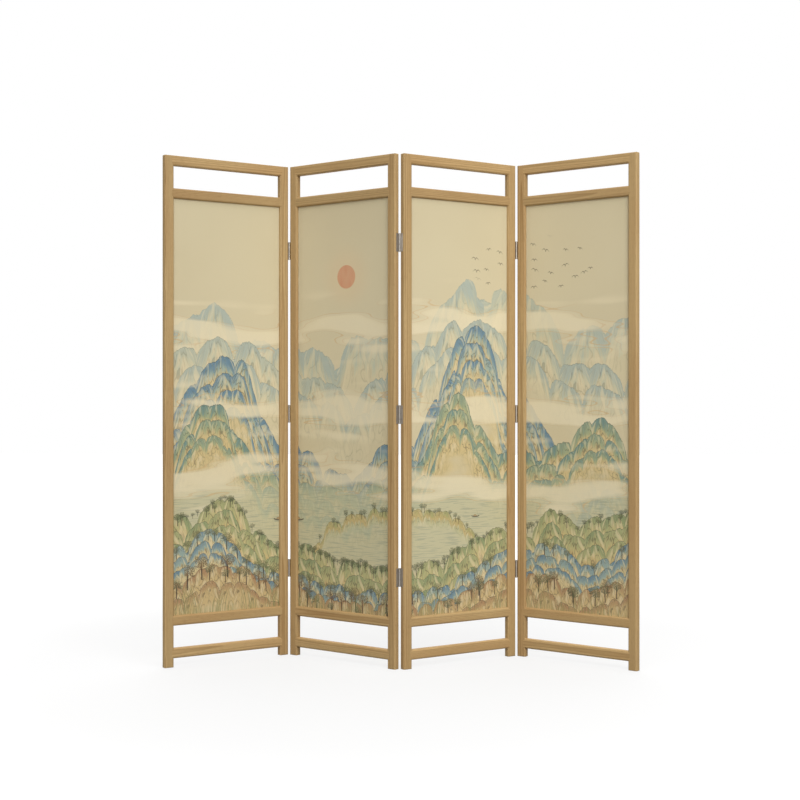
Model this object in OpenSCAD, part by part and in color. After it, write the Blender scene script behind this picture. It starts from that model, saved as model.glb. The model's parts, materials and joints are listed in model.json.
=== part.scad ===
// Folding screen of four framed panels, joined edge to edge by butt hinges and
// standing in a zigzag. Millimetres, +Z up, origin on the floor under the middle,
// front of the screen towards -Y. Panels are numbered from the left as seen from
// the front. Inside a panel, x runs across it, y through it and z up.

/* [Screen] */
// Height of the screen from the floor to its top
screen_h = 1800; // [1500:10:2100]
// Width of one panel over its two stiles
panel_w = 500; // [400:5:700]
// Thickness of every stile and rail
frame_t = 24; // [22:1:32]
// Turn of each panel out of the line of the screen, in degrees
fold_angle = 36.5; // [0:0.5:80]

/* [Stiles] */
// Width of a stile across its face
stile_w = 36; // [34:1:60]
// Radius of the rounding along the edges of stiles and rails
edge_r = 7; // [4:0.5:8]
// Radius of the rounding round the ends of the stiles and along the top
end_r = 3; // [1:0.5:5]

/* [Rails] */
// Height of each rail's face
rail_h = 36; // [32:1:60]
// Height of the feet, below the bottom rail
foot_h = 31; // [12:1:80]
// Height of the open gaps above and below the picture
gap_h = 78.5; // [40:0.5:180]
// Depth of a rail's flat shoulder past the stile's rounding
shoulder_past = 1; // [0.5:0.5:3]
// Length of a tenon from its shoulder
tenon_l = 16; // [10:1:20]
// Thickness of a tenon
tenon_t = 8; // [6:0.5:10]
// Height left above and below a tenon
tenon_step = 8; // [7:0.5:10]

/* [Picture] */
// Thickness of the core board
board_t = 3; // [2:0.5:5]
// Thickness of the printed cloth drawn over the board
cloth_t = 0.8; // [0.4:0.1:1.2]
// Depth of the groove that holds the picture
groove_d = 6; // [4:0.5:6.5]

/* [Hinges] */
// Height of a hinge
hinge_h = 64; // [50:1:80]
// Number of knuckles on one hinge
knuckles = 5; // [3:2:7]
// Outer diameter of the knuckles
knuckle_d = 7; // [6:0.1:8]
// Diameter of the hinge pin
pin_d = 3.2; // [2.5:0.1:3.8]
// Thickness of a leaf
leaf_t = 1.1; // [0.8:0.1:1.6]
// Width of a leaf from the pin's axis
leaf_w = 18; // [16:0.5:20]
// Gap between the two leaves when the screen is flat
leaf_gap = 0.2; // [0.1:0.05:0.6]
// Height of the lowest hinge's centre above the floor
hinge_low = 320; // [260:5:420]
// Distance of the highest hinge's centre below the top
hinge_high = 310; // [260:5:420]
// Distance of the middle hinge's centre below half height
hinge_mid_drop = 11; // [0:1:40]

/* [Screws] */
// Diameter of a wood screw's shank
screw_d = 3; // [2.5:0.1:3.5]
// Diameter of a wood screw's countersunk head
screw_head_d = 5.4; // [4.6:0.1:5.8]
// Length of a wood screw
screw_l = 14; // [10:1:18]
// Number of screws in each leaf
leaf_screws = 3; // [2:1:4]
// Sideways step of alternate screws from their middle line
screw_stagger = 1.2; // [0:0.1:2]

/* [Clearances] */
// Gap between the faces of two panels folded together
fold_gap = 1; // [0.6:0.1:3]
// Gap round a tenon and a housed shoulder
joint_fit = 0.05; // [0.05:0.05:0.2]
// Gap past the end of a tenon
tenon_end_gap = 1; // [0.5:0.5:2]
// Gap between the board and the bottom of its groove
board_gap = 0.4; // [0.3:0.1:0.8]
// Gap between the cloth and the board
wrap_gap = 0.05; // [0.05:0.05:0.2]
// Gap between the cloth and the walls of the groove
cloth_gap = 0.3; // [0.3:0.05:0.5]
// Radial gap between a pin and its knuckles
pin_fit = 0.05; // [0.03:0.01:0.08]
// Gap between knuckles and round them
knuckle_gap = 0.3; // [0.2:0.05:0.5]
// Radial gap round a screw
screw_fit = 0.05; // [0.03:0.01:0.1]

/* [Hidden] */
$fn = 48;
PANELS = 4;
eps = 1;
// Side faces of two neighbouring stiles when the screen is flat
side_gap = 2 * leaf_t + leaf_gap;
// Radius kept clear round the knuckles, and how far the pin's axis stands proud of
// the panel's face, so that the knuckles clear the rounded edges of the stiles
knuckle_clear_r = knuckle_d / 2 + knuckle_gap;
axis_clear = sqrt(max(0, pow(knuckle_clear_r + edge_r, 2) - pow(side_gap / 2 + edge_r, 2))) - edge_r;
axis_out = max(fold_gap / 2, axis_clear);
axis_y = frame_t / 2 + axis_out;
knuckle_h = hinge_h / knuckles;
hinge_z = [hinge_low, screen_h / 2 - hinge_mid_drop, screen_h - hinge_high];
HINGE_NAMES = ["low", "middle", "top"];
// Line of the screws on a leaf, from the pin's axis, and their spacing
screw_row = (knuckle_d / 2 + leaf_w) / 2;
screw_pitch = hinge_h / leaf_screws;
screw_head_h = (screw_head_d - screw_d) / 2;
screw_tip_h = screw_d;
slot_l = screw_head_d * 0.55;
slot_w = screw_d / 5;
slot_depth = screw_head_h * 0.6;
// Heads of a hinge pin
pin_head_d = (knuckle_d + pin_d) / 2;
pin_head_h = pin_d / 4;
// Rails from the floor up: bottom, lower, upper and top
RAIL_NAMES = ["bottom_rail", "lower_rail", "upper_rail", "top_rail"];
rail_z = [foot_h,
          foot_h + rail_h + gap_h,
          screen_h - 2 * rail_h - gap_h,
          screen_h - rail_h];
picture_low = rail_z[1] + rail_h;
picture_high = rail_z[2];
housing_d = edge_r + shoulder_past;
tenon_h = rail_h - 2 * tenon_step;
rail_l = panel_w - 2 * (stile_w - housing_d);
groove_w = board_t + 2 * (wrap_gap + cloth_t + cloth_gap);
// The board's edges stop short of the groove by the board's gap and the wrapped cloth
board_in = groove_d - board_gap - wrap_gap - cloth_t;
board_w = panel_w - 2 * (stile_w - board_in);
board_h = picture_high - picture_low + 2 * (groove_d - board_gap);

WOOD = [0.70, 0.57, 0.41];
STEEL = [0.62, 0.61, 0.59];
CLOTH = [0.82, 0.77, 0.64];
BOARD = [0.52, 0.40, 0.28];

// Odd panels turn away from the front towards their right edge, even ones back to it
function turn(n) = n % 2 == 1 ? fold_angle : -fold_angle;
function turned(p, a) = [p[0] * cos(a) - p[1] * sin(a), p[0] * sin(a) + p[1] * cos(a)];
// A joint between an odd panel and the next folds at the front face, the others behind
function axis_side(joint) = joint % 2 == 1 ? -1 : 1;
function right_axis(n) = [panel_w + side_gap / 2, axis_side(n) * axis_y];
function left_axis(n) = [-side_gap / 2, axis_side(n - 1) * axis_y];
// Corner of each panel, laid out from the first one's corner along the chain of pins
function chain(n) = n == 1 ? [0, 0]
    : chain(n - 1) + turned(right_axis(n - 1), turn(n - 1)) - turned(left_axis(n), turn(n));
function rounding_points(n) = [
    for (x = [edge_r, panel_w - edge_r]) for (y = [-1, 1])
        chain(n) + turned([x, y * (frame_t / 2 - edge_r)], turn(n))];
function pin_point(n) = chain(n) + turned(right_axis(n), turn(n));
all_points = [for (n = [1:PANELS]) each rounding_points(n)];
all_pins = [for (n = [1:PANELS - 1]) pin_point(n)];
function reach(axis, sign) = max(
    max([for (p = all_points) sign * p[axis]]) + edge_r,
    max([for (p = all_pins) sign * p[axis]]) + knuckle_d / 2);
centre = [for (axis = [0, 1]) (reach(axis, 1) - reach(axis, -1)) / 2];
function corner(n) = chain(n) - centre;

// Puts its children, drawn in a panel's own frame, where that panel stands
module panel(n) {
    translate(concat(corner(n), 0)) rotate([0, 0, turn(n)]) children();
}

// Puts its children at a joint of panel n: origin on the pin's axis, x towards the
// panel and y from its face into its thickness
module at_joint(n, joint) {
    point = n == joint ? right_axis(n) : left_axis(n);
    translate(concat(point, 0))
        mirror([n == joint ? 1 : 0, 0, 0])
            mirror([0, axis_side(joint) == 1 ? 1 : 0, 0])
                children();
}

// Flat outline, w wide about x = 0 and h high from y = 0, with its corners rounded
module rounded_outline(w, h, low_r, high_r) {
    translate([-w / 2, low_r]) square([w, h - low_r - high_r]);
    for (corner = [[low_r, 0, low_r], [high_r, h - high_r, h - high_r]]) {
        r = corner[0];
        translate([r - w / 2, corner[1]]) square([w - 2 * r, r]);
        for (side = [-1, 1]) translate([side * (w / 2 - r), corner[2]]) circle(r = r);
    }
}

// Stile with its outer edge at x = 0, rounded along its length and round its ends
module stile_blank() {
    intersection() {
        translate([stile_w / 2, -frame_t / 2, 0])
            linear_extrude(screen_h) rounded_outline(stile_w, frame_t, edge_r, edge_r);
        rotate([90, 0, 90])
            linear_extrude(stile_w) rounded_outline(frame_t, screen_h, end_r, end_r);
        translate([stile_w / 2, frame_t / 2, 0]) rotate([90, 0, 0])
            linear_extrude(frame_t) rounded_outline(stile_w, screen_h, end_r, end_r);
    }
}

// Rail's section from one shoulder towards +x, grown on every side by fit
module rail_bar(i, length, fit = 0) {
    high_r = i == len(rail_z) - 1 ? end_r : edge_r;
    translate([0, 0, rail_z[i] - fit]) rotate([90, 0, 90])
        linear_extrude(length)
            rounded_outline(frame_t + 2 * fit, rail_h + 2 * fit, edge_r + fit, high_r + fit);
}

// Tenon, or the hole for it, standing from x = 0 by its length
module tenon(i, length, fit = 0) {
    translate([0, -tenon_t / 2 - fit, rail_z[i] + tenon_step - fit])
        cube([length, tenon_t + 2 * fit, tenon_h + 2 * fit]);
}

// What is cut from a stile for the rails and the picture
module stile_joinery() {
    for (i = [0:len(rail_z) - 1]) {
        translate([stile_w - housing_d, 0, 0]) rail_bar(i, housing_d + eps, joint_fit);
        translate([stile_w - housing_d - tenon_l - tenon_end_gap, 0, 0])
            tenon(i, tenon_l + tenon_end_gap + eps, joint_fit);
    }
    translate([stile_w - groove_d, -groove_w / 2, picture_low - groove_d])
        cube([groove_d + eps, groove_w, picture_high - picture_low + 2 * groove_d]);
}

// Wood screw along +x with its head's face at x = 0, or the hole for it
module screw_form(fit = 0) {
    head_r = screw_head_d / 2 + fit;
    shank_r = screw_d / 2 + fit;
    rotate([0, 90, 0]) rotate_extrude()
        polygon([[0, 0], [head_r, 0], [shank_r, screw_head_h], [shank_r, screw_l - screw_tip_h],
                 [fit, screw_l + fit], [0, screw_l + fit]]);
}

module wood_screw() {
    difference() {
        screw_form();
        for (turn = [0, 90]) rotate([turn, 0, 0])
            translate([-eps, -slot_w / 2, -slot_l / 2]) cube([eps + slot_depth, slot_w, slot_l]);
    }
}

// Puts its children at each screw of every leaf on one edge of panel n
module at_screws(n, joint) {
    at_joint(n, joint) for (z = hinge_z) for (k = [0:leaf_screws - 1]) {
        step = k % 2 == 0 ? -screw_stagger : screw_stagger;
        translate([leaf_gap / 2, screw_row + step, z + (k - (leaf_screws - 1) / 2) * screw_pitch])
            children();
    }
}

module stile(n, right) {
    joint = right ? n : n - 1;
    color(WOOD) difference() {
        translate([right ? panel_w : 0, 0, 0]) mirror([right ? 1 : 0, 0, 0]) difference() {
            stile_blank();
            stile_joinery();
        }
        if (joint >= 1 && joint < PANELS) at_screws(n, joint) screw_form(screw_fit);
    }
}

// Rail with a tenon at each end, grooved where it holds the picture
module rail(i) {
    shoulder_x = stile_w - housing_d;
    color(WOOD) difference() {
        union() {
            translate([shoulder_x, 0, 0]) rail_bar(i, rail_l);
            translate([shoulder_x - tenon_l, 0, 0]) tenon(i, rail_l + 2 * tenon_l);
        }
        if (i == 1 || i == 2)
            translate([shoulder_x - eps, -groove_w / 2, i == 1 ? picture_low - groove_d : picture_high - eps])
                cube([rail_l + 2 * eps, groove_w, groove_d + eps]);
    }
}

// Core board, held by its edges in the grooves
module picture_board() {
    color(BOARD) translate([(panel_w - board_w) / 2, -board_t / 2, (picture_low + picture_high - board_h) / 2])
        cube([board_w, board_t, board_h]);
}

// Printed cloth, drawn round the board as a flat tube that is open above and below
module picture_cloth() {
    inner = [board_w + 2 * wrap_gap, board_t + 2 * wrap_gap];
    color(CLOTH) translate([panel_w / 2, 0, (picture_low + picture_high - board_h) / 2])
        linear_extrude(board_h) difference() {
            square([inner[0] + 2 * cloth_t, inner[1] + 2 * cloth_t], center = true);
            square(inner, center = true);
        }
}

// Heights of the knuckles of one leaf: every other one, from the first
module knuckle_rows(first, clear) {
    for (k = [first:2:knuckles - 1])
        translate([0, 0, k * knuckle_h - hinge_h / 2 + (clear ? -knuckle_gap / 2 : knuckle_gap / 2)])
            children();
}

// Leaf of panel n at a joint. The panel before the joint has the outer knuckles
module hinge_leaf(n, joint, z) {
    first = n == joint ? 0 : 1;
    color(STEEL) panel(n) difference() {
        at_joint(n, joint) translate([0, 0, z]) difference() {
            union() {
                translate([leaf_gap / 2, 0, -hinge_h / 2]) cube([leaf_t, leaf_w, hinge_h]);
                knuckle_rows(first, false) cylinder(d = knuckle_d, h = knuckle_h - knuckle_gap);
            }
            translate([0, 0, -hinge_h / 2 - eps])
                cylinder(r = pin_d / 2 + pin_fit, h = hinge_h + 2 * eps);
            knuckle_rows(1 - first, true)
                translate([-eps, -knuckle_d / 2 - eps, 0])
                    cube([2 * eps + leaf_gap + leaf_t, eps + knuckle_d / 2 + knuckle_clear_r,
                          knuckle_h + knuckle_gap]);
        }
        at_screws(n, joint) screw_form(screw_fit);
    }
}

// Pin with a low head at each end
module hinge_pin() {
    shank_h = hinge_h + knuckle_gap;
    cylinder(d = pin_d, h = shank_h, center = true);
    for (end = [0, 1]) mirror([0, 0, end])
        translate([0, 0, shank_h / 2]) cylinder(d1 = pin_head_d, d2 = pin_d, h = pin_head_h);
}

module hinge_pins(joint) {
    color(STEEL) panel(joint) at_joint(joint, joint)
        for (z = hinge_z) translate([0, 0, z]) hinge_pin();
}

module hinge_screws(n) {
    color(STEEL) panel(n) {
        if (n > 1) at_screws(n, n - 1) wood_screw();
        if (n < PANELS) at_screws(n, n) wood_screw();
    }
}

for (n = [1:PANELS]) {
    panel(n) stile(n, false);
    panel(n) stile(n, true);
    for (i = [0:len(rail_z) - 1])
        panel(n) rail(i);
    panel(n) picture_board();
    panel(n) picture_cloth();
    hinge_screws(n);
}
for (j = [1:PANELS - 1]) {
    for (i = [0:len(hinge_z) - 1]) for (n = [j, j + 1])
        hinge_leaf(n, j, hinge_z[i]);
    hinge_pins(j);
}
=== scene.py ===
"""A folding screen of four framed pictures, dressed, lit and seen from in front."""

import json
import logging
import math
from dataclasses import dataclass, replace
from enum import Enum
from typing import Annotated, Any, Callable, NamedTuple, Optional, Union
from typing import get_args, get_origin, get_type_hints

import bmesh
import bpy
from mathutils import Euler, Matrix, Vector


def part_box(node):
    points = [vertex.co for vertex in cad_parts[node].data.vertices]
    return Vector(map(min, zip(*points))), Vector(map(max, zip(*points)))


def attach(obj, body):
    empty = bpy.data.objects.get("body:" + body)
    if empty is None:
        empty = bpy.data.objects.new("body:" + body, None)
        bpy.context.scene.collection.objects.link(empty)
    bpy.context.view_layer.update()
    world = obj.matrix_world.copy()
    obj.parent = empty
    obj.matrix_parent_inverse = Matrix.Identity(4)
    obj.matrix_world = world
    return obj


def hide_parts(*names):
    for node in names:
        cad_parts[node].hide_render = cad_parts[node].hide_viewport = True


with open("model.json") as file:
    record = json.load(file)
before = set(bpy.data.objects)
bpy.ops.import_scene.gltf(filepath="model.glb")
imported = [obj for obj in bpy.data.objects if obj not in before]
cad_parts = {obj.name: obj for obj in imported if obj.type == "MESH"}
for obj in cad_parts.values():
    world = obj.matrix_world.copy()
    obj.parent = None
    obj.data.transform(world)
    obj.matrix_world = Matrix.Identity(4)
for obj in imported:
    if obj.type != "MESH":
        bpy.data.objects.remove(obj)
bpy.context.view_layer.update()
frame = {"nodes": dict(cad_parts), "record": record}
LOG = logging.getLogger("folding_screen")

MM = 0.001
PANELS = 4
WHITE = (1.0, 1.0, 1.0)

Colour = tuple[float, float, float]
Points = tuple[tuple[float, float], ...]
Corners = tuple[Vector, Vector]


def linear(red: int, green: int, blue: int) -> Colour:
    """Turns a paint colour into the renderer's linear light.

    Args:
        red: Red from 0 to 255.
        green: Green from 0 to 255.
        blue: Blue from 0 to 255.

    Returns:
        The same colour as three linear shares.
    """

    def light(level: int) -> float:
        """Gives one channel's linear share."""
        share = level / 255
        return share / 12.92 if share <= 0.04045 else ((share + 0.055) / 1.055) ** 2.4

    return light(red), light(green), light(blue)


def operator(operation: str, swapped: bool = False) -> Callable[..., "Wire"]:
    """Makes a method of Wire from one of the Math node's operations.

    Args:
        operation: The node's operation.
        swapped: Whether the other value comes before the wire.

    Returns:
        The method.
    """

    def method(wire: "Wire", *others: "Value") -> "Wire":
        """Works the operation out on a wire and the other values."""
        return wire.plan.math(operation, *((*others, wire) if swapped else (wire, *others)))

    return method


class Wire:
    """One value in a node tree, which sums and thresholds can be taken of."""

    def __init__(self, plan: "Plan", socket: bpy.types.NodeSocket) -> None:
        """Keeps the plan that the value belongs to and its socket."""
        self.plan = plan
        self.socket = socket

    __add__ = operator("ADD")
    __radd__ = operator("ADD", swapped=True)
    __sub__ = operator("SUBTRACT")
    __rsub__ = operator("SUBTRACT", swapped=True)
    __mul__ = operator("MULTIPLY")
    __truediv__ = operator("DIVIDE")
    __rtruediv__ = operator("DIVIDE", swapped=True)
    __pow__ = operator("POWER")
    __abs__ = operator("ABSOLUTE")
    most = operator("MAXIMUM")
    least = operator("MINIMUM")

    def rise(self, low: "Value", high: "Value") -> "Wire":
        """Climbs smoothly from 0 at low to 1 at high."""
        return self.plan.span(self, low, high, 0.0, 1.0)

    def fall(self, low: "Value", high: "Value") -> "Wire":
        """Drops smoothly from 1 at low to 0 at high."""
        return self.plan.span(self, low, high, 1.0, 0.0)


Value = Union[Wire, float, int]
Paint = Union[Wire, Colour]
Made = dict[str, Wire]


class Plan:
    """Writes the formulas of one shader node tree."""

    def __init__(self, tree: bpy.types.NodeTree) -> None:
        """Keeps the tree that the nodes go into."""
        self.tree = tree

    @classmethod
    def fresh(cls, block: Union[bpy.types.Material, bpy.types.World]) -> "Plan":
        """Empties the node tree of a material or a world and starts its plan.

        Args:
            block: The material or the world.

        Returns:
            The plan of the emptied tree.
        """
        block.use_nodes = True
        block.node_tree.nodes.clear()
        return cls(block.node_tree)

    def add(self, kind: str, inputs: Optional[dict[Any, Any]] = None, **settings: Any) -> bpy.types.Node:
        """Places a node.

        Args:
            kind: The node's type.
            inputs: What goes into its sockets, by name or by number.
            settings: Properties of the node.

        Returns:
            The node.
        """
        node = self.tree.nodes.new(kind)
        for name, value in settings.items():
            setattr(node, name, value)
        for key, value in (inputs or {}).items():
            self.feed(node.inputs[key], value)
        return node

    def wire(
        self, kind: str, inputs: Optional[dict[Any, Any]] = None, output: Union[int, str] = 0, **settings: Any
    ) -> Wire:
        """Places a node as add does, and gives one of its outputs."""
        return Wire(self, self.add(kind, inputs, **settings).outputs[output])

    def feed(self, socket: bpy.types.NodeSocket, value: Any) -> None:
        """Links a wire to a socket, or sets the socket to a plain value.

        Args:
            socket: The socket to fill.
            value: A wire, a number, a colour or a vector.
        """
        if isinstance(value, Wire):
            self.tree.links.new(value.socket, socket)
        elif socket.type == "RGBA" and len(value) == 3:
            socket.default_value = (*value, 1.0)
        else:
            socket.default_value = value

    def math(self, operation: str, *values: Value) -> Wire:
        """Works out one step of arithmetic on values, by the Math node's name for it."""
        return self.wire("ShaderNodeMath", dict(enumerate(values)), operation=operation)

    def span(self, *values: Value) -> Wire:
        """Maps a value smoothly from one span onto another, and holds the ends.

        Args:
            values: What is mapped, where the span starts and ends, and the result there.

        Returns:
            The mapped value.
        """
        return self.wire("ShaderNodeMapRange", dict(enumerate(values)), interpolation_type="SMOOTHSTEP")

    def point(self, *values: Value) -> Wire:
        """Joins up to three values into a point."""
        return self.wire("ShaderNodeCombineXYZ", dict(enumerate(values)))

    def parts(self, point: Wire) -> tuple[Wire, ...]:
        """Splits a point into its three values."""
        return tuple(Wire(self, output) for output in self.add("ShaderNodeSeparateXYZ", {0: point}).outputs)

    def lots(self, colour: Wire, count: int) -> list[Wire]:
        """Draws random numbers from a random colour.

        Args:
            colour: The colour of a cell.
            count: How many numbers to draw.

        Returns:
            The numbers, each from 0 to 1.
        """
        first, step = 7.3, 31.7
        return [self.math("FRACT", colour * (first + step * draw)) for draw in range(count)]

    def _at(self, place: tuple[Value, ...]) -> dict[str, Value]:
        """Says where a texture of one cell a unit is read: on a line, over a plane or in space."""
        return {"Scale": 1.0, **({"Vector": self.point(*place)} if place[1:] else {"W": place[0]})}

    def noise(self, *place: Value, detail: float = 1.0, roughness: float = 0.5) -> Wire:
        """Gives soft noise of one cell a unit.

        Args:
            place: Where it is read, in cells, as one, two or three numbers.
            detail: How many finer layers it has.
            roughness: How strong those are.

        Returns:
            A value from 0 to 1, about 0.5 in the middle.
        """
        inputs = {**self._at(place), "Detail": detail, "Roughness": roughness}
        return self.wire("ShaderNodeTexNoise", inputs, noise_dimensions=f"{len(place)}D")

    def scatter(self, *place: Value, free: float) -> Made:
        """Scatters points along a line or over a plane, about one a unit.

        Args:
            place: Where the nearest one is looked for, in cells, as one or two numbers.
            free: 0 for even steps, 1 for a free scatter.

        Returns:
            The nearest one's Distance, its random Color, and its place as W or Position.
        """
        inputs = {**self._at(place), "Randomness": free}
        node = self.add("ShaderNodeTexVoronoi", inputs, voronoi_dimensions=f"{len(place)}D")
        return {output.name: Wire(self, output) for output in node.outputs}

    def curve(self, value: Value, points: Points) -> Wire:
        """Bends a value by a smooth curve through chosen points.

        Args:
            value: What is bent, from 0 to 1.
            points: The curve's points, both numbers from 0 to 1.

        Returns:
            The curve's height there.
        """
        node = self.add("ShaderNodeFloatCurve", {"Value": value})
        line = node.mapping.curves[0]
        line.points[0].location = points[0]
        line.points[1].location = points[-1]
        for along, up in points[1:-1]:
            line.points.new(along, up)
        for point in line.points:
            point.handle_type = "AUTO_CLAMPED"
        node.mapping.update()
        return Wire(self, node.outputs[0])

    def mix(self, share: Value, under: Paint, over: Paint, blend: str = "MIX") -> Wire:
        """Lays one colour over another.

        Args:
            share: How much of the upper colour shows.
            under: The lower colour.
            over: The upper colour.
            blend: How the two are blended.

        Returns:
            The blended colour.
        """
        colours = {0: share, 6: under, 7: over}
        return self.wire("ShaderNodeMix", colours, 2, data_type="RGBA", blend_type=blend)


class Socket(Enum):
    """The kinds of socket that an effect takes and gives, by the type of their values."""

    VALUE = "NodeSocketFloat"
    VECTOR = "NodeSocketVector"
    RGBA = "NodeSocketColor"


Number = Annotated[Wire, Socket.VALUE]
Point = Annotated[Wire, Socket.VECTOR]
Tint = Annotated[Wire, Socket.RGBA]


class Effect:
    """A formula that becomes one shared node group the first time it is placed.

    The formula takes a plan and the group's inputs, whose sockets its type hints give, and it
    returns the outputs by name. An input's name has a capital on its socket.
    """

    shared: dict[str, Socket] = {}

    def __init__(self, formula: Callable[..., Any]) -> None:
        """Keeps the formula and reads the group's name and inputs from it.

        Args:
            formula: Writes the group's nodes.
        """
        self.formula = formula
        self.name = formula.__name__.replace("_", " ")
        hints = get_type_hints(formula, include_extras=True)
        hints.pop("return")
        own = {label: get_args(hint)[1] for label, hint in hints.items() if get_origin(hint) is Annotated}
        self.takes = {**self.shared, **own}
        self.tree: Optional[bpy.types.NodeTree] = None

    def work_out(self, plan: Plan, given: Made) -> Made:
        """Turns the group's inputs into its outputs."""
        return self.formula(plan, **given)

    def build(self) -> bpy.types.NodeTree:
        """Builds the group's tree, or finds it if it is there.

        Returns:
            The tree, which every place of the effect shares.
        """
        if self.tree is None:
            self.tree = bpy.data.node_groups.new(self.name, "ShaderNodeTree")
            new_socket = self.tree.interface.new_socket
            for label, kind in self.takes.items():
                new_socket(label.capitalize(), in_out="INPUT", socket_type=kind.value)
            plan = Plan(self.tree)
            source = plan.add("NodeGroupInput").outputs
            given = {label: Wire(plan, source[label.capitalize()]) for label in self.takes}
            made = self.work_out(plan, given)
            for label, wire in made.items():
                new_socket(label, in_out="OUTPUT", socket_type=Socket[wire.socket.type].value)
            plan.add("NodeGroupOutput", made)
        return self.tree

    def __call__(self, plan: Plan, **inputs: Any) -> Made:
        """Places the group in a plan.

        Args:
            plan: The plan.
            inputs: What goes into its sockets.

        Returns:
            The group's outputs by name.
        """
        fed = {label.capitalize(): value for label, value in inputs.items()}
        node = plan.add("ShaderNodeGroup", fed, node_tree=self.build())
        return {output.name: Wire(plan, output) for output in node.outputs}


# Shared effects: a place in metres times a number is a place in cells, so many to the metre


WARM_WOOD = linear(205, 160, 118)
DULL_STEEL = linear(112, 104, 97)
SPECK = linear(92, 80, 70)


@Effect
def wood_grain(plan: Plan, place: Point, seed: Number, light: Tint, dark: Tint) -> Made:
    """Draws the straight grain of a ring-porous timber that runs along Z.

    Args:
        plan: The group's plan.
        place: The place in the member, in metres.
        seed: Sets one member's grain apart from the next.
        light: The colour of the spring growth.
        dark: The colour of the late growth and the pores.

    Returns:
        The wood's colour, its roughness and the height of its pores.
    """
    ring_width = 3.1 * MM
    pith_behind, sway_behind = 45 * MM, 10 * MM
    pith_aside, sway_aside, fine_sway = 160 * MM, 22 * MM, 1.6 * MM
    across, deep, along = plan.parts(place)
    drift = plan.noise(along * 1.1 + seed * 3.7, across * 5, deep * 5, detail=2) - 0.5
    fine_drift = plan.noise(along * 7 + seed, across * 30, deep * 30) - 0.5
    pith = plan.noise(seed * 5.3, detail=0) - 0.5
    aside = across + pith * pith_aside + drift * sway_aside + fine_drift * fine_sway
    behind = deep + pith_behind + drift * sway_behind
    radius = (aside * aside + behind * behind) ** 0.5
    ring = plan.math("FRACT", radius / ring_width)
    late = ring.rise(0.35, 0.93) * ring.fall(0.93, 1.0)
    pores = plan.noise(across * 1500, deep * 1500, along * 42 + seed)
    open_pore = pores.rise(0.58, 0.68) * (1 - late * 0.7)
    fibre = plan.noise(across * 420, deep * 420, along * 9 + seed, detail=2) - 0.5
    broad = plan.noise(across * 14 + seed, deep * 14, along * 1.7, detail=2)
    shade = (0.14 + late * 0.42 + open_pore * 0.38 + fibre * 0.55).least(1.0).most(0.0)
    timber = plan.mix(shade, light, dark)
    tinted = plan.mix(broad.rise(0.3, 0.7) * 0.5, timber, WARM_WOOD, "MULTIPLY")
    return {
        "Color": plan.mix(0.5, timber, tinted),
        "Roughness": 0.5 + open_pore * 0.16 + fibre * 0.12,
        "Height": 0.6 - open_pore * 0.5 + fibre * 0.4,
    }


@Effect
def brushed_metal(plan: Plan, place: Point, seed: Number, steel: Tint) -> Made:
    """Draws lightly brushed, handled steel with its brush marks along Z.

    Args:
        plan: The group's plan.
        place: The place on the fitting, in metres.
        seed: Sets one fitting apart from the next.
        steel: The colour of the plating.

    Returns:
        The steel's colour, its roughness and the height of its brush marks.
    """
    across, deep, along = plan.parts(place)
    strokes = plan.noise(across * 2600, deep * 2600, along * 60 + seed, detail=2)
    cloud = plan.noise(across * 90 + seed, deep * 90, along * 60, detail=3)
    specks = plan.noise(across * 900, deep * 900, along * 900 + seed)
    dull = cloud.rise(0.48, 0.72)
    spot = specks.rise(0.68, 0.76)
    toned = plan.mix(dull * 0.35 + strokes * 0.12, steel, DULL_STEEL)
    return {
        "Color": plan.mix(spot * 0.5, toned, SPECK),
        "Roughness": 0.3 + dull * 0.2 + strokes * 0.12,
        "Height": strokes - spot * 0.6,
    }


@Effect
def plain_weave(plan: Plan, place: Point, pitch: Number) -> Made:
    """Draws the crossing threads of plain canvas.

    Args:
        plan: The group's plan.
        place: The place on the cloth, in metres.
        pitch: The distance from one thread to the next, in metres.

    Returns:
        The height of the threads, and how far into the gaps between them a place is.
    """
    along, up, _ = plan.parts(place)
    slub = plan.noise(along * 90, up * 900, 0.0) + plan.noise(along * 900, up * 90, 0.0)
    turn = math.pi / pitch
    warp = plan.math("SINE", along * turn)
    weft = plan.math("SINE", up * turn)
    crossing = abs(warp) * abs(weft)
    over = plan.math("SIGN", warp * weft)
    height = crossing * (0.75 + over * 0.25) + (slub - 1) * 0.5
    return {"Height": height, "Gap": 1 - crossing}


@Effect
def fibreboard(plan: Plan, place: Point, light: Tint, dark: Tint) -> Made:
    """Draws pressed brown fibreboard.

    Args:
        plan: The group's plan.
        place: The place in the board, in metres.
        light: The colour of the fibres.
        dark: The colour between them.

    Returns:
        The board's colour and the height of its fibres.
    """
    across, deep, up = plan.parts(place)
    fibres = plan.noise(across * 700, deep * 700, up * 300, detail=3)
    clumps = plan.noise(across * 60, deep * 60, up * 60, detail=2)
    shade = fibres.rise(0.35, 0.65) * 0.7 + clumps * 0.3
    return {"Color": plan.mix(shade, light, dark), "Height": fibres}


# The printed picture


@dataclass(frozen=True)
class Wash:
    """The colours of one range of hills, from its crest down to the mist."""

    crown: Colour
    flank: Colour
    foot: Colour


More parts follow.
